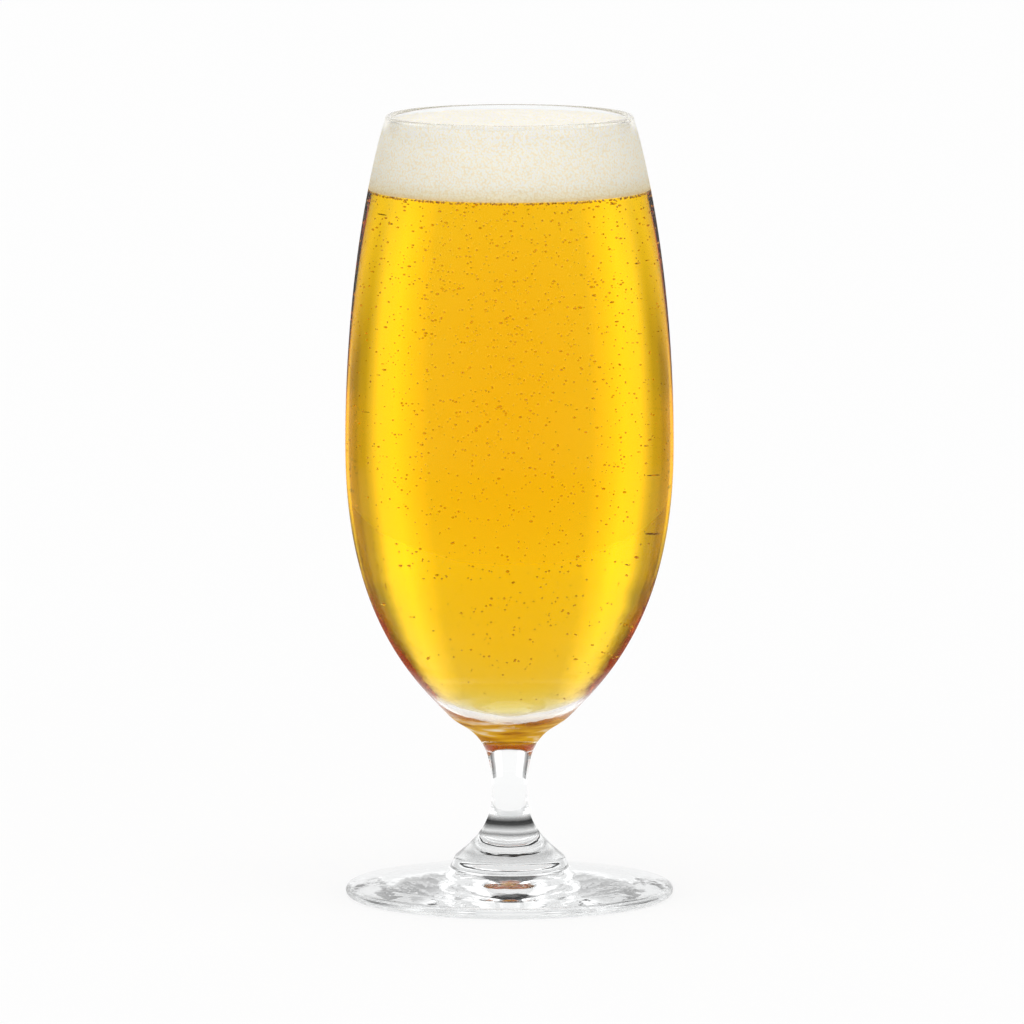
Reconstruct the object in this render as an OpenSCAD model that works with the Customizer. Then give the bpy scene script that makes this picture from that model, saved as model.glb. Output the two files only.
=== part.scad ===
// A pint of lager in a stemmed pilsner glass: one clear glass, the beer in it and the head on the beer.
// Millimetres, +Z up. The origin is on the axis, on the surface that the foot stands on.

/* [Bowl] */
// Height of the rim above the table
height = 200; // [185:1:220]
// Diameter outside the rim
rim_d = 62.8; // [52:0.2:72]
// Diameter outside the belly, the widest part of the bowl
belly_d = 83.6; // [76:0.2:100]
// Height of the belly
belly_z = 115.5; // [106:0.5:130]
// Fullness of the bowl's outside below the belly, as a curve's upright handle
bowl_fullness = 41; // [34:0.5:49]
// Diameter where the bowl's underside turns into the neck
neck_d = 29.8; // [26:0.2:33]
// Height where the bowl's underside turns into the neck
neck_z = 45.8; // [43:0.2:49]
// Slope of the underside at the neck, in degrees above level
neck_slope = 44; // [38:1:50]

/* [Wall] */
// Thickness of the glass at the rim
rim_wall = 1.8; // [1.3:0.1:2.2]
// Thickness of the glass at the belly
belly_wall = 1.8; // [1.5:0.1:2.6]
// Height of the lowest point inside the bowl
cavity_z = 50.5; // [48:0.5:56]
// Roundness of the bottom inside the bowl, as a curve's level handle
cavity_roundness = 17; // [13:0.5:20]

/* [Stem] */
// Diameter of the stem at its waist
stem_d = 9; // [7.5:0.1:11]
// Height of the stem's waist
stem_z = 27; // [24:0.5:30]
// Diameter of the shoulder that the stem flares into
shoulder_d = 27.6; // [23:0.2:32]
// Height of the shoulder's edge
shoulder_z = 10.2; // [9:0.1:12]

/* [Foot] */
// Diameter of the foot
foot_d = 83.8; // [70:0.2:101]
// Thickness of the foot at its rounded edge
foot_edge = 2.8; // [2.2:0.1:3.4]
// Height of the foot's top beside the shoulder
foot_top_z = 7; // [6.2:0.1:8.2]
// Width of the flat ring that the foot stands on
rest_w = 8.5; // [4:0.5:13]
// Depth of the hollow under the foot
underside_rise = 1.3; // [0.6:0.1:2.2]

/* [Beer] */
// Depth of the beer's surface below the rim
beer_drop = 18.9; // [13:0.1:38]
// Depth of the head's edge below the rim
head_drop = 1.3; // [1.1:0.1:8]
// How far the middle of the head stands above its edge
head_dome = 0.8; // [0.3:0.1:0.9]

/* [Hidden] */
STEPS = 16; // straight stretches in each curve of an outline
EDGE_STEPS = 8; // straight stretches in each rounded edge
$fn = 128;

neck_sweep = 16.5; // reach of the curve above the neck, along the slope
neck_turn = 4.4; // reach of the curve below the neck, along the slope
stem_taper = 15.6; // reach of the stem's curve above its waist
flare_rise = 7.4; // reach of the stem's curve below its waist
flare_sweep = 9; // reach of the flare's curve above the shoulder
flare_slope = 38; // slope of the flare at the shoulder, in degrees above level
shoulder_step = 1; // half the width of the step from the shoulder to the foot's top

rim_r = rim_d / 2;
belly_r = belly_d / 2;
neck_r = neck_d / 2;
stem_r = stem_d / 2;
shoulder_r = shoulder_d / 2;
foot_r = foot_d / 2;
rest_r = foot_r - foot_edge / 2; // outside radius of the flat ring
hollow_r = rest_r - rest_w; // radius of the hollow under the foot
lip_r = rim_wall / 2; // radius of the rounded lip
lip_z = height - lip_r; // height of the middle of the lip's rounding
lip_mid_r = outside_r(lip_z) - lip_r; // its radius from the axis
neck = [neck_r, neck_z];
waist = [stem_r, stem_z];
shoulder = [shoulder_r, shoulder_z];
foot_top = [shoulder_r + 2 * shoulder_step, foot_top_z];
beer_z = height - beer_drop;
head_z = height - head_drop;

// A point on a cubic curve from a to d with handles b and c, at t from 0 to 1
function on_curve(a, b, c, d, t) =
    pow(1 - t, 3) * a + 3 * pow(1 - t, 2) * t * b + 3 * (1 - t) * t * t * c + pow(t, 3) * d;

// The points of that curve without its first, so that curves chain without a double point
function curve(a, b, c, d) = [for (i = [1:STEPS]) on_curve(a, b, c, d, i / STEPS)];

// The point at a reach from p, along a slope in degrees above level
function along(p, reach, slope) = p + reach * [cos(slope), sin(slope)];

// Radius at height z of an ellipse's arc that is upright at wide_r, belly_z and passes top_r, height
function arc_r(z, wide_r, top_r) =
    wide_r * sqrt(1 - (1 - pow(top_r / wide_r, 2)) * pow((z - belly_z) / (height - belly_z), 2));

// Radius inside and outside the bowl at height z, from the belly up
function inside_r(z) = arc_r(z, belly_r - belly_wall, rim_r - rim_wall);
function outside_r(z) = arc_r(z, belly_r, rim_r);

// The inside of the bowl above height z0, as far as height z1
function inside_band(z0, z1) = [for (i = [1:STEPS]) let(z = z0 + (z1 - z0) * i / STEPS) [inside_r(z), z]];

// The inside of the bowl from its lowest point up to the belly
function inside_bottom() = concat(
    [[0, cavity_z]],
    curve([0, cavity_z], [cavity_roundness, cavity_z],
          [belly_r - belly_wall, belly_z - bowl_fullness], [belly_r - belly_wall, belly_z])
);

// The inside from its lowest point up to the beer's surface
function beer_side() = concat(inside_bottom(), inside_band(belly_z, beer_z));

// The rounded lip, from the inside over to the outside
function lip() = [for (i = [0:EDGE_STEPS]) let(turn = 180 - 180 * i / EDGE_STEPS)
    along([lip_mid_r, lip_z], lip_r, turn)];

// The outside of the bowl from the lip down to the neck
function bowl_down() = concat(
    [for (i = [1:STEPS]) let(z = lip_z + (belly_z - lip_z) * i / STEPS) [outside_r(z), z]],
    curve([belly_r, belly_z], [belly_r, belly_z - bowl_fullness], along(neck, neck_sweep, neck_slope), neck)
);

// The stem from the neck past its waist to the shoulder, and on to the top of the foot
function stem_down() = concat(
    curve(neck, along(neck, -neck_turn, neck_slope), waist + [0, stem_taper], waist),
    curve(waist, waist - [0, flare_rise], along(shoulder, -flare_sweep, -flare_slope), shoulder),
    curve(shoulder, along(shoulder, shoulder_step, -flare_slope),
          foot_top - [shoulder_step, 0], foot_top)
);

// The foot's rounded edge, the ring that it stands on and the hollow inside that ring
function foot_line() = concat(
    [for (i = [0:EDGE_STEPS]) along([rest_r, foot_edge / 2], foot_edge / 2, 90 - 180 * i / EDGE_STEPS)],
    [[hollow_r, 0]],
    curve([hollow_r, 0], [hollow_r * 2 / 3, underside_rise], [hollow_r / 3, underside_rise], [0, underside_rise])
);

// Bowl, stem and foot in one piece of clear glass
module glass() {
    color("gainsboro", 0.35)
        rotate_extrude()
            polygon(concat(beer_side(), inside_band(beer_z, head_z), inside_band(head_z, lip_z - lip_r),
                           lip(), bowl_down(), stem_down(), foot_line()));
}

// The beer, against the glass all the way down
module beer() {
    color("gold")
        rotate_extrude()
            polygon(concat(beer_side(), [[0, beer_z]]));
}

// The head, a deep layer of foam on the beer with a gently domed top
module head() {
    color("cornsilk")
        rotate_extrude()
            polygon(concat(
                [[0, beer_z], [inside_r(beer_z), beer_z]],
                inside_band(beer_z, head_z),
                curve([inside_r(head_z), head_z], [inside_r(head_z) * 2 / 3, head_z + head_dome],
                      [inside_r(head_z) / 3, head_z + head_dome], [0, head_z + head_dome])
            ));
}

glass();
beer();
head();
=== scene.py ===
"""The looks of a pint of lager in a stemmed pilsner glass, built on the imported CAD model.

The glass, the beer and the head are turned from the outlines of their CAD nodes. The beer reaches just into
the wall of the glass, and the bubbles are closed shells of air in it. Lengths are in metres.
"""
import math
import random

import bmesh
import bpy
import numpy as np
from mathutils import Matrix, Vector, noise


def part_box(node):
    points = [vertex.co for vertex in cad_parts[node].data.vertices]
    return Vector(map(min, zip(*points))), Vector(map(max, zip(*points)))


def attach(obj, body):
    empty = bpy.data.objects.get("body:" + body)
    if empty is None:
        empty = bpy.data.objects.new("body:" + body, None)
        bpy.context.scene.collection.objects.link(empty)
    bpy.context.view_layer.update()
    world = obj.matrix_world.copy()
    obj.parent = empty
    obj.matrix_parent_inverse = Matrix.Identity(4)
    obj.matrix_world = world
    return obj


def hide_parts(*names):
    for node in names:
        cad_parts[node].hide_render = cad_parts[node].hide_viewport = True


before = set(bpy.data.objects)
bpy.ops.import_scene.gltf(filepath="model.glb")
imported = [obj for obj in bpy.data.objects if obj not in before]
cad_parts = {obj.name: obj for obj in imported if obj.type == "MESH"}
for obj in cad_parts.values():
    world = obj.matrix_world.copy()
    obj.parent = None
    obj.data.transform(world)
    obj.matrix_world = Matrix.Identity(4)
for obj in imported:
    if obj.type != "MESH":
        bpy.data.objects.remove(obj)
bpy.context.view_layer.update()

MM = 0.001
TURN = 2 * math.pi

# --- Sizes from the frame ------------------------------------------------------------------------
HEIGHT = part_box("glass")[1].z
CAVITY_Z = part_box("beer")[0].z
BEER_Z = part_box("beer")[1].z
HEAD_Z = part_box("head")[1].z
HEAD_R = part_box("head")[1].x

# --- Meshes --------------------------------------------------------------------------------------
WELD = 0.004 * MM  # points of the CAD mesh nearer than this are one
STRAIGHT = math.radians(0.3)  # an outline that turns less than this at a point is straight there
CORNER = math.radians(35)  # an outline that turns more than this at a point has a corner there
REACH = 0.12 * MM  # how far what fills the glass reaches into its wall
HEAD_REACH = 0.2 * MM  # how far the head reaches into the wall and into the beer
LATHE_STEPS = 192  # steps round each turned piece
GLASS_STEP = 0.9 * MM  # length of a stretch of the glass's outline
BEER_STEP = 1.2 * MM
HEAD_STEP = 0.6 * MM
HEAD_ROUGH = 0.35 * MM  # how far the head's top rises and falls
HEAD_LUMP = 2.2 * MM  # size of its lumps
HEAD_LUMPY = 0.9  # share of the head's radius inside which its top has lumps
HEAD_CALM = 2 * MM  # how far in from there the lumps reach their full height
HEAD_TOP = 0.9 * MM  # points less than this below the head's highest point are on its top

# --- Materials -----------------------------------------------------------------------------------
BLACK = (0, 0, 0, 1)
WHITE = (1, 1, 1, 1)
GLASS_IOR = 1.52
GLASS_COLOUR = (0.985, 0.992, 0.99, 1)
GLASS_SHEEN = (0.1, 0.1, 0.1, 1)  # how much of its mirror shine clear glass keeps
GLASS_UNEVEN = 90  # scale of the noise in the glass
LESS_SHINE = [(0.5, 0.97), (0.8, 0.9)]  # by Facing, how much of its shine the bowl loses
LOW_BOWL = (0.5, 0.38)  # shares of the height between which the bowl grows uneven, going down
RIPPLE = 0.12  # how uneven it is there
RIPPLE_DEPTH = 1 * MM
# Levels and colours by share of the glass's height
GLASS_COLOURS = [(0.0, (0.81, 0.82, 0.822)), (0.045, (0.84, 0.85, 0.852)), (0.06, (0.97, 0.977, 0.976))]
BOWL_ZONE = [(0.255, 0), (0.30, 1), (0.98, 1), (0.99, 0)]
TINT_ZONE = [(0.245, 0), (0.265, 1), (0.90, 1), (0.91, 0)]
TINT_COLOURS = [(0.26, (0.79, 0.69, 0.78)), (0.29, (0.94, 0.86, 0.76)), (0.44, (1, 1, 1))]
# Painted refraction: how far amber streaks, with painted light and shade, stand in for the beer seen
# through the neck
NECK_PAINT_COVER = [(0.195, 0), (0.20, 0.85), (0.225, 0.85), (0.235, 0.3), (0.25, 0)]
# where the painted colour is the neck's painted refraction rather than the rings' painted shade
PAINTED_NECK_SHARE = [(0.194, 0), (0.197, 1), (0.245, 1), (0.255, 0)]
# Painted shade: dark rings where the stem flares, in place of the dark that the thick glass there bends
# into view
SHADE_RING_ZONE = [(0.054, 0), (0.057, 0.5), (0.060, 0), (0.069, 0), (0.072, 0.75), (0.075, 0), (0.080, 0),
             (0.0825, 0.8), (0.085, 0), (0.087, 0), (0.092, 0.9), (0.100, 0.97), (0.104, 0)]
SHADE_RING_WAVER = 0.002  # how far the painted dark shade rings where the stem flares stray up and down
# Painted shade: the colour of those rings
SHADE_RING_COLOUR = (0.004, 0.004, 0.004, 1)
PAINTED_NECK_SCALE = (70, 70, 420)  # long painted streaks round the neck
# painted refraction of the beer in the neck, from dark amber shade to a pale painted highlight
PAINTED_NECK_COLOURS = [(0.32, (0.20, 0.07, 0.003)), (0.43, (0.50, 0.22, 0.008)), (0.55, (0.76, 0.42, 0.02)),
                  (0.66, (0.97, 0.86, 0.62))]
BEER_IOR = 1.34
BEER_COLOUR = (0.9925, 0.89, 0.05, 1)  # what a stretch of beer lets through
BEER_DENSITY = 85
FOAM_ROUGHNESS = 0.55
FOAM_PAINTED_GLOW = (1, 0.87, 0.66, 1)  # painted light: the foam's own faint glow, in place of light that has come up through the beer
# how strongly the foam glows with its painted light
FOAM_PAINTED_GLOW_LEVEL = 0.09
FOAM_COLOURS = [(0.0, (0.88, 0.70, 0.38)), (0.05, (0.94, 0.86, 0.66)), (0.2, (0.982, 0.962, 0.90)),
                (1.0, (0.995, 0.99, 0.97))]  # from the beer up
FOAM_CELLS = 1900  # scale of the foam's fine bubbles
FOAM_SHADES = [(0.3, (1, 1, 1)), (0.8, (0.91, 0.85, 0.68))]  # from a cell's middle out
FOAM_BUMP = 0.6
FOAM_BUMP_DEPTH = 0.2 * MM
BUBBLE_COLOUR = (0.75, 0.55, 0.25, 1)

# --- Bubbles -------------------------------------------------------------------------------------
BUBBLE_SEED = 7
BUBBLE_RISE = 0.6  # under 1, bubbles are closer together higher up
BUBBLE_SPLITS = 2  # how finely each bubble is rounded
LOWEST_BUBBLE = 4 * MM  # above the bottom of the beer
TOP_GAP = 1 * MM  # bubbles in the beer keep this far below its surface
WALL_GAP = 1 * MM  # and rising ones this far from the wall
FREE_BUBBLES = 2200
FREE_SIZES = (0.09, 0.27)  # radii in millimetres
WALL_BUBBLES = 700
WALL_SIZES = (0.06 * MM, 0.14 * MM)
WALL_DEPTHS = (1.6, 1.8)  # from the wall to a bubble's middle, in its radii
RING_BUBBLES = 700  # under the edge of the head
RING_SIZES = (0.10 * MM, 0.28 * MM)
RING_DEPTHS = (1.2, 3.0)
RING_BELOW = (0.7 * MM, 0.3 * MM)  # their middles are this far below the beer's surface

# --- Studio --------------------------------------------------------------------------------------
FLOOR_HALF = 12  # half the floor's side
FLOOR_GAP = 0.05 * MM  # the part stands this much above the floor, so that the two don't flicker
# Brightness by degrees from straight behind the part, to either side; the edges of the bowl bend the dark
# stretches into view
BACKDROP_STOPS = [(0, 1.0), (14, 1.0), (23, 1.5), (30, 1.35), (34, 0.85), (38, 0.5), (43, 0.4), (46, 0.22),
                  (57, 0.22), (61, 1.0), (100, 1.0), (120, 2.0), (180, 2.0)]
# Brightness by height, from 0 at the horizon to 1 overhead
ABOVE_STOPS = [(0.50, 1.0), (0.60, 0.05), (0.84, 0.05), (0.90, 1.5)]
BACKDROP_FROM = 0.6  # the floor nearer than this is evenly bright
BACKDROP_BLEND = 0.15  # width of the change from there to the backdrop's brightness
FLOOR_GLOW = 0.85  # share of the floor's brightness that is its own light
MAX_BOUNCES = 32
GLASS_BOUNCES = 24  # enough to pass every wall and bubble in the way

# --- Camera --------------------------------------------------------------------------------------
CAMERA_ELEVATION = math.radians(7.16)
CAMERA_DISTANCE = 2.925
CAMERA_SENSOR = 36  # width in millimetres
CAMERA_LENS = 403.7
CAMERA_REACH = 100  # nothing in the scene is farther than this
CAMERA_AIM = Vector((0.64 * MM, 0, HEIGHT / 2 - 1.5 * MM))


# === Outlines ====================================================================================
def seam(node):
    """A CAD node's outline as points (radius, height) in order, read off its mesh at angle 0."""
    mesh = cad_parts[node].data
    keys = {}
    place = {}
    for v in mesh.vertices:
        if abs(v.co.y) < WELD and v.co.x > -WELD:
            key = (round(v.co.x / WELD), round(v.co.z / WELD))
            keys[v.index] = key
            place[key] = np.array((max(v.co.x, 0.0), v.co.z))
    joined = {key: set() for key in place}
    for edge in mesh.edges:
        ends = [keys.get(i) for i in edge.vertices]
        if None not in ends and ends[0] != ends[1]:
            joined[ends[0]].add(ends[1])
            joined[ends[1]].add(ends[0])
    key = max((k for k in joined if len(joined[k]) == 1), key=lambda k: k[1])
    chain = [key]
    while True:
        onward = [k for k in joined[chain[-1]] if len(chain) < 2 or k != chain[-2]]
        if not onward:
            return [place[k] for k in chain]
        chain.append(onward[0])


def turning(before, here, after):
    """How far an outline turns at a point, in radians."""
    a = np.subtract(here, before)
    b = np.subtract(after, here)
    return abs(math.atan2(a[0] * b[1] - a[1] * b[0], float(a @ b)))


def bends(points):
    """An outline without the points on its straight stretches."""
    kept = [points[0]]
    for here, after in zip(points[1:-1], points[2:]):
        if turning(kept[-1], here, after) > STRAIGHT:
            kept.append(here)
    return kept + [points[-1]]


def rounded(points, step):
    """A smooth outline through the points, in stretches of about one step, with its corners kept."""
    count = len(points)
    corner = [i in (0, count - 1) or turning(points[i - 1], points[i], points[i + 1]) > CORNER
              for i in range(count)]
    smooth = [points[0]]
    for i in range(count - 1):
        a, b = points[i], points[i + 1]
        length = np.linalg.norm(b - a)
        leave = b - a if corner[i] else tangent(points, i) * length
        arrive = b - a if corner[i + 1] else tangent(points, i + 1) * length
        parts = max(1, round(length / step))
        for k in range(1, parts + 1):
            smooth.append(hermite(a, b, leave, arrive, k / parts))
    return smooth


def tangent(points, i):
    """The direction of an outline at one of its inner points, weighed to the nearer neighbour."""
    back = points[i] - points[i - 1]
    on = points[i + 1] - points[i]
    near_back = np.linalg.norm(back)
    near_on = np.linalg.norm(on)
    mixed = back / near_back * near_on + on / near_on * near_back
    return mixed / np.linalg.norm(mixed)


def hermite(a, b, leave, arrive, t):
    """A point of the cubic curve from a to b that leaves and arrives along the given vectors."""
    return ((2 * t ** 3 - 3 * t ** 2 + 1) * a + (t ** 3 - 2 * t ** 2 + t) * leave
            + (3 * t ** 2 - 2 * t ** 3) * b + (t ** 3 - t ** 2) * arrive)


def outline(node, step):
    """The smooth outline of a CAD node, from its highest point on the axis to its lowest."""
    points = [np.array((r, max(z, 0.0))) for r, z in rounded(bends(seam(node)), step)]
    if points[0][0] > WELD:
        points.insert(0, np.array((0.0, points[0][1])))
    if points[-1][0] > WELD:
        points.append(np.array((0.0, points[-1][1])))
    return points


# === Meshes ======================================================================================
def mesh_object(name, verts, faces):
    """A smooth-shaded mesh object in the scene."""
    mesh = bpy.data.meshes.new(name)
    mesh.from_pydata([tuple(v) for v in verts], [], faces)
    mesh.shade_smooth()
    mesh.set_sharp_from_angle(angle=CORNER)
    obj = bpy.data.objects.new(name, mesh)
    bpy.context.scene.collection.objects.link(obj)
    return obj


def lathe(name, points, steps=LATHE_STEPS):
    """A solid turned from an outline whose two ends lie on the axis, with its faces turned outwards."""
    ring_points = points[1:-1]
    verts = [(0, 0, points[0][1])]
    for r, z in ring_points:
        for k in range(steps):
            turn = TURN * k / steps
            verts.append((r * math.cos(turn), r * math.sin(turn), z))
    verts.append((0, 0, points[-1][1]))
    last = len(verts) - 1
    faces = []
    for k in range(steps):
        on = (k + 1) % steps
        faces.append((0, 1 + k, 1 + on))
        for ring in range(len(ring_points) - 1):
            low = 1 + ring * steps
            high = low + steps
            faces.append((low + k, high + k, high + on, low + on))
        base = last - steps
        faces.append((base + on, base + k, last))
    return mesh_object(name, verts, faces)


def widened(points, reach):
    """An outline moved out from what it encloses, apart from its flat top."""
    top = points[0][1]
    moved = []
    for i, p in enumerate(points):
        before = points[max(i - 1, 0)]
        after = points[min(i + 1, len(points) - 1)]
        along = after - before
        out = np.array((-along[1], along[0])) / np.linalg.norm(along)
        if i == 0 or abs(p[1] - top) < WELD:
            out = np.array((0.0 if p[0] < WELD else 1.0, 0.0))
        if p[0] < WELD:
            out[0] = 0.0
        moved.append(p + reach * out)
    return moved


# === Materials ===================================================================================
class Material:
    """A node material with a Principled shader, and short ways to add and join nodes."""

    def __init__(self, name):
        self.data = bpy.data.materials.new(name)
        self.data.use_nodes = True
        self.nodes = self.data.node_tree.nodes
        self.links = self.data.node_tree.links
        self.shader = self.nodes["Principled BSDF"]
        self.output = self.nodes["Material Output"]

    def set(self, **values):
        """Sets the shader's own sockets, named with underscores for spaces."""
        for key, value in values.items():
            self.shader.inputs[key.replace("_", " ")].default_value = value

    def add(self, kind, settings=None, **inputs):
        """A new node of a kind, with its settings and its inputs' values or links."""
        node = self.nodes.new(kind)
        for key, value in (settings or {}).items():
            setattr(node, key, value)
        for key, value in inputs.items():
            socket = node.inputs[key.replace("_", " ")]
            if isinstance(value, bpy.types.NodeSocket):
                self.links.new(value, socket)
            else:
                socket.default_value = value
        return node

    def place(self):
        """Position on the piece, in metres."""
        return self.add("ShaderNodeTexCoord").outputs["Object"]

    def ramp(self, factor, stops):
        """A colour ramp over a factor, from stops (position, colour)."""
        node = self.add("ShaderNodeValToRGB", Fac=factor)
        elements = node.color_ramp.elements
        while len(elements) < len(stops):
            elements.new(0.5)
        for element, (position, colour) in zip(elements, stops):
            element.position = position
            element.color = (*colour, 1)
        return node.outputs["Color"]

    def blend(self, factor, a, b, kind="MIX"):
        """A colour between two colours, which are values or links."""
        node = self.add("ShaderNodeMix", {"data_type": "RGBA", "blend_type": kind}, Factor=factor)
        for socket, value in zip(("A", "B"), (a, b)):
            if isinstance(value, bpy.types.NodeSocket):
                self.links.new(value, node.inputs[socket])
            else:
                node.inputs[socket].default_value = value
        return node.outputs["Result"]

    def math(self, operation, *values):
        """A sum, product or the like of numbers, which are values or links."""
        node = self.add("ShaderNodeMath", {"operation": operation})
        for socket, value in zip(node.inputs, values):
            if isinstance(value, bpy.types.NodeSocket):
                self.links.new(value, socket)
            else:
                socket.default_value = value
        return node.outputs["Value"]

    def part(self, vector, axis):
        """One part of a vector."""
        return self.add("ShaderNodeSeparateXYZ", Vector=vector).outputs[axis]

    def scaled(self, value, low, high, to_low=0.0, to_high=1.0):
        """A number moved from one range to another, and kept in it."""
        return self.add("ShaderNodeMapRange", Value=value, From_Min=low, From_Max=high, To_Min=to_low,
                        To_Max=to_high).outputs["Result"]

    def mixed(self, factor, a, b):
        """A shader between two shaders."""
        node = self.add("ShaderNodeMixShader", Fac=factor)
        self.links.new(a, node.inputs[1])
        self.links.new(b, node.inputs[2])
        return node.outputs["Shader"]

    def join(self, socket, name):
        self.links.new(socket, self.shader.inputs[name])


def greys(stops):
    """Stops of a ramp from (position, level)."""
    return [(position, (level, level, level)) for position, level in stops]


def painted_neck_refraction(m, place):
    """Painted amber streaks in the thick glass of the neck, in place of the beer refracted there, with
    painted highlights and shade.
    """
    squashed = m.add("ShaderNodeVectorMath", {"operation": "MULTIPLY"})
    m.links.new(place, squashed.inputs[0])
    squashed.inputs[1].default_value = PAINTED_NECK_SCALE
    streaks = m.add("ShaderNodeTexNoise", Vector=squashed.outputs["Vector"], Scale=1.0, Detail=2.0)
    return m.ramp(streaks.outputs["Fac"], PAINTED_NECK_COLOURS)


def painted_neck_and_shade_rings(m, place, share, uneven):
    """How far the painted streaks of the neck and the painted shade rings of the stem cover the glass, and
    their shader.
    """
    # A diffuse layer of painted shade rings where the stem flares and painted refraction streaks in the
    # neck
    stray = m.scaled(uneven, 0, 1, -SHADE_RING_WAVER, SHADE_RING_WAVER)
    # painted shade: dark rings where the stem flares
    rings = m.ramp(m.math("ADD", share, stray), greys(SHADE_RING_ZONE))
    cover = m.blend(1.0, m.ramp(share, greys(NECK_PAINT_COVER)), rings, "LIGHTEN")
    colour = m.blend(m.ramp(share, greys(PAINTED_NECK_SHARE)), SHADE_RING_COLOUR, painted_neck_refraction(m, place))
    return cover, m.add("ShaderNodeBsdfDiffuse", Color=colour).outputs["BSDF"]


def glass_material():
    """Clear glass with painted shade rings where the stem flares, and painted amber streaks of refracted
    beer in the neck.

    In the bowl most of its shine gives way to plain refraction, a little less of it where it turns away.
    """
    m = Material("clear_glass")
    m.set(Transmission_Weight=1.0, Roughness=0.0, IOR=GLASS_IOR, Specular_Tint=GLASS_SHEEN)
    place = m.place()
    share = m.scaled(m.part(place, "Z"), 0, HEIGHT)
    uneven = m.add("ShaderNodeTexNoise", Vector=place, Scale=GLASS_UNEVEN, Detail=3.0).outputs["Fac"]
    m.join(m.ramp(share, GLASS_COLOURS), "Base Color")

    tint = m.blend(m.ramp(share, greys(TINT_ZONE)), GLASS_COLOUR, m.ramp(share, TINT_COLOURS))
    bare = m.add("ShaderNodeBsdfRefraction", Color=tint, Roughness=0.0, IOR=GLASS_IOR)
    facing = m.add("ShaderNodeLayerWeight", Blend=0.5).outputs["Facing"]
    less = m.blend(1.0, m.ramp(share, greys(BOWL_ZONE)), m.ramp(facing, greys(LESS_SHINE)), "MULTIPLY")
    cover, painted = painted_neck_and_shade_rings(m, place, share, uneven)

    inside = m.add("ShaderNodeNewGeometry").outputs["Backfacing"]
    clear = m.mixed(m.blend(inside, less, BLACK), m.shader.outputs["BSDF"], bare.outputs["BSDF"])
    # the painted neck refraction and painted shade rings lie over the clear glass, on its outer faces only
    whole = m.mixed(m.blend(inside, cover, BLACK), clear, painted)
    m.links.new(whole, m.output.inputs["Surface"])
    strength = m.math("MULTIPLY", m.scaled(share, *LOW_BOWL), RIPPLE)
    bump = m.add("ShaderNodeBump", Strength=strength, Distance=RIPPLE_DEPTH, Height=uneven)
    m.join(bump.outputs["Normal"], "Normal")
    m.links.new(bump.outputs["Normal"], bare.inputs["Normal"])
    return m.data


def beer_material():
    """Clear golden lager."""
    m = Material("lager")
    m.set(Base_Color=WHITE, Transmission_Weight=1.0, Roughness=0.0, IOR=BEER_IOR, Specular_Tint=BLACK)
    absorb = m.add("ShaderNodeVolumeAbsorption", Color=BEER_COLOUR, Density=BEER_DENSITY)
    m.links.new(absorb.outputs["Volume"], m.output.inputs["Volume"])
    return m.data


def head_material():
    """Cream foam of fine bubbles, golden low down where the beer still drains out of it, with a faint glow
    of painted light.
    """
    m = Material("foam")
    # painted light: the foam glows faintly of its own
    m.set(Roughness=FOAM_ROUGHNESS, Emission_Color=FOAM_PAINTED_GLOW, Emission_Strength=FOAM_PAINTED_GLOW_LEVEL)
    place = m.place()
    up = m.scaled(m.part(place, "Z"), BEER_Z, HEAD_Z)
    cells = m.add("ShaderNodeTexVoronoi", Vector=place, Scale=FOAM_CELLS).outputs["Distance"]
    colour = m.blend(1.0, m.ramp(up, FOAM_COLOURS), m.ramp(cells, FOAM_SHADES), "MULTIPLY")
    m.join(colour, "Base Color")
    bump = m.add("ShaderNodeBump", Strength=FOAM_BUMP, Distance=FOAM_BUMP_DEPTH, Height=cells)
    bump.invert = True
    m.join(bump.outputs["Normal"], "Normal")
    return m.data


def bubble_material():
    """The skin of a bubble: it bends light as the beer does, but from the beer's side."""
    m = Material("bubble")
    m.set(Base_Color=BUBBLE_COLOUR, Transmission_Weight=1.0, Roughness=0.0, IOR=BEER_IOR)
    return m.data


# === Pieces ======================================================================================
def finish_piece(obj, material, node=None):
    """Gives a piece its material, and its place in the frame."""
    obj.data.materials.append(material)
    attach(obj, "root")
    if node:
        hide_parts(node)


def build_glass():
    glass = lathe("glass_body", outline("glass", GLASS_STEP))
    finish_piece(glass, glass_material(), "glass")


def build_beer(points):
    beer = lathe("lager", widened(points, REACH))
    finish_piece(beer, beer_material(), "beer")


def sunk(points):
    """The head's outline with its side just in the glass and its bottom just in the beer."""
    moved = []
    for r, z in points:
        out = HEAD_REACH if r > WELD else 0.0
        down = HEAD_REACH if z < BEER_Z + WELD else 0.0
        moved.append(np.array((r + out, z - down)))
    return moved


def build_head():
    """The head, with a gently uneven top."""
    head = lathe("foam", sunk(outline("head", HEAD_STEP)))
    for v in head.data.vertices:
        inwards = HEAD_LUMPY * HEAD_R - math.hypot(v.co.x, v.co.y)
        if v.co.z > HEAD_Z - HEAD_TOP and inwards > 0:
            v.co.z += HEAD_ROUGH * min(1, inwards / HEAD_CALM) * noise.noise(v.co / HEAD_LUMP)
    finish_piece(head, head_material(), "head")


def inside_radius(points, z):
    """The radius of the beer's outline at a height."""
    heights = [p[1] for p in reversed(points)]
    radii = [p[0] for p in reversed(points)]
    return float(np.interp(z, heights, radii))


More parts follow.
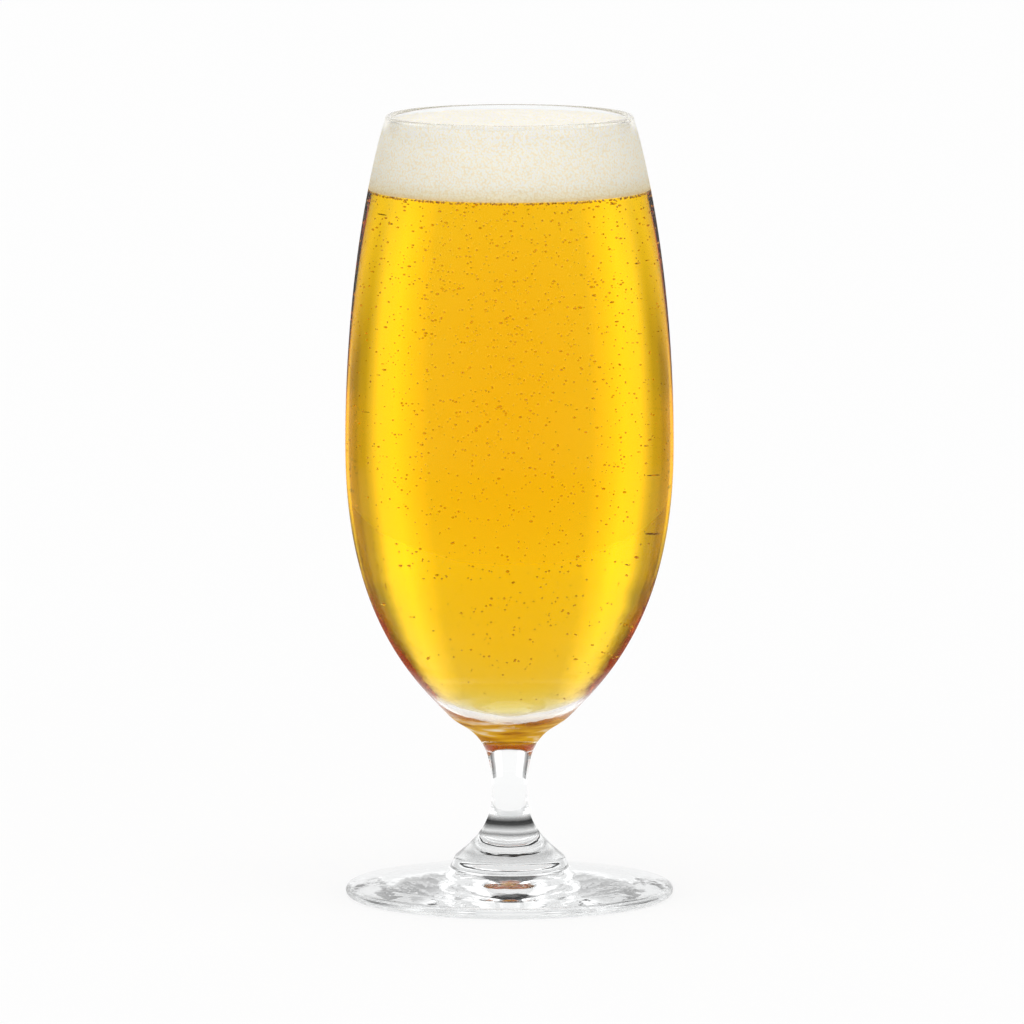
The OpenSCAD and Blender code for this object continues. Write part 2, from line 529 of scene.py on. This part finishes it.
def ball_shape():
    """Corners and triangles of a ball of radius 1, turned inwards, as a bubble's skin faces its beer."""
    mesh = bpy.data.meshes.new("ball")
    ball = bmesh.new()
    bmesh.ops.create_icosphere(ball, subdivisions=BUBBLE_SPLITS, radius=1)
    bmesh.ops.reverse_faces(ball, faces=ball.faces)
    ball.to_mesh(mesh)
    ball.free()
    corners = np.array([v.co for v in mesh.vertices])
    faces = [tuple(p.vertices) for p in mesh.polygons]
    return corners, faces


def balls(name, places):
    """One mesh of many balls, from (x, y, z, radius)."""
    corners, faces = ball_shape()
    verts = []
    all_faces = []
    for x, y, z, r in places:
        base = len(verts)
        verts.extend(corners * r + (x, y, z))
        all_faces.extend(tuple(base + i for i in f) for f in faces)
    return mesh_object(name, verts, all_faces)


def bubble_places(pick, points, count, sizes, heights, depths):
    """Places and sizes of bubbles, by ranges of radius, of height and of depth behind the wall in radii."""
    places = []
    for _ in range(count):
        radius = pick.uniform(*sizes)
        z = heights[0] + (heights[1] - heights[0]) * pick.random() ** BUBBLE_RISE
        turn = pick.uniform(0, TURN)
        r = inside_radius(points, z) - radius * pick.uniform(*depths)
        places.append((r * math.cos(turn), r * math.sin(turn), z, radius))
    return places


def build_bubbles(points):
    """Bubbles that cling to the wall and under the head, and bubbles on their way up."""
    pick = random.Random(BUBBLE_SEED)
    low = CAVITY_Z + LOWEST_BUBBLE
    surface = BEER_Z - HEAD_REACH
    high = surface - TOP_GAP
    clinging = bubble_places(pick, points, WALL_BUBBLES, WALL_SIZES, (low, high), WALL_DEPTHS)
    ring_heights = [surface - below for below in RING_BELOW]
    clinging += bubble_places(pick, points, RING_BUBBLES, RING_SIZES, ring_heights, RING_DEPTHS)
    rising = []
    for _ in range(FREE_BUBBLES):
        z = low + (high - low) * pick.random() ** BUBBLE_RISE
        turn = pick.uniform(0, TURN)
        r = (inside_radius(points, z) - WALL_GAP) * math.sqrt(pick.random())
        size = pick.uniform(*FREE_SIZES) * MM
        rising.append((r * math.cos(turn), r * math.sin(turn), z, size))
    material = bubble_material()
    finish_piece(balls("clinging_bubbles", clinging), material)
    finish_piece(balls("rising_bubbles", rising), material)


# === Studio ======================================================================================
def backdrop_light(m, place, strength):
    """How bright the surroundings are by direction, the same to the left as to the right."""
    side = m.math("ABSOLUTE", m.math("ARCTAN2", m.part(place, "X"), m.part(place, "Y")))
    stops = [(degrees / 180, (level * strength,) * 3) for degrees, level in BACKDROP_STOPS]
    return m.ramp(m.math("DIVIDE", side, math.pi), stops)


def build_floor():
    """A plain pale floor, evenly bright near the part and as bright as the backdrop farther out."""
    m = Material("floor")
    own = 1 - FLOOR_GLOW
    m.set(Base_Color=(own, own, own, 1), Roughness=1.0, Specular_IOR_Level=0.0, Emission_Strength=1.0)
    place = m.place()
    far = m.add("ShaderNodeVectorMath", {"operation": "LENGTH"})
    m.links.new(place, far.inputs[0])
    share = m.scaled(far.outputs["Value"], BACKDROP_FROM, BACKDROP_FROM + BACKDROP_BLEND)
    glow = (FLOOR_GLOW, FLOOR_GLOW, FLOOR_GLOW, 1)
    m.join(m.blend(share, glow, backdrop_light(m, place, FLOOR_GLOW)), "Emission Color")
    half = FLOOR_HALF
    level = -FLOOR_GAP
    floor = mesh_object("floor", [(-half, -half, level), (half, -half, level), (half, half, level),
                                  (-half, half, level)], [(0, 1, 2, 3)])
    floor.data.materials.append(m.data)


class World(Material):
    """The studio round the part, as a node material of the world."""

    def __init__(self, name):
        self.data = bpy.data.worlds.new(name)
        self.data.use_nodes = True
        self.nodes = self.data.node_tree.nodes
        self.links = self.data.node_tree.links
        self.shader = self.nodes["Background"]


def build_world():
    w = World("studio")
    place = w.add("ShaderNodeTexCoord").outputs["Generated"]
    above = w.ramp(w.part(place, "Z"), greys(ABOVE_STOPS))
    w.join(w.blend(1.0, backdrop_light(w, place, 1.0), above, "MULTIPLY"), "Color")
    bpy.context.scene.world = w.data


def build_camera():
    camera = bpy.data.objects.new("camera", bpy.data.cameras.new("camera"))
    camera.data.lens = CAMERA_LENS
    camera.data.sensor_width = CAMERA_SENSOR
    camera.data.clip_end = CAMERA_REACH
    back = Vector((0, -math.cos(CAMERA_ELEVATION), math.sin(CAMERA_ELEVATION)))
    camera.location = CAMERA_AIM + CAMERA_DISTANCE * back
    camera.rotation_euler = (math.pi / 2 - CAMERA_ELEVATION, 0, 0)
    bpy.context.scene.collection.objects.link(camera)
    bpy.context.scene.camera = camera


beer_outline = outline("beer", BEER_STEP)
build_glass()
build_beer(beer_outline)
build_bubbles(beer_outline)
build_head()
build_floor()
build_world()
build_camera()
bpy.context.scene.view_settings.view_transform = "Standard"
bpy.context.scene.cycles.max_bounces = MAX_BOUNCES
bpy.context.scene.cycles.transmission_bounces = GLASS_BOUNCES
bpy.context.scene.cycles.glossy_bounces = GLASS_BOUNCES
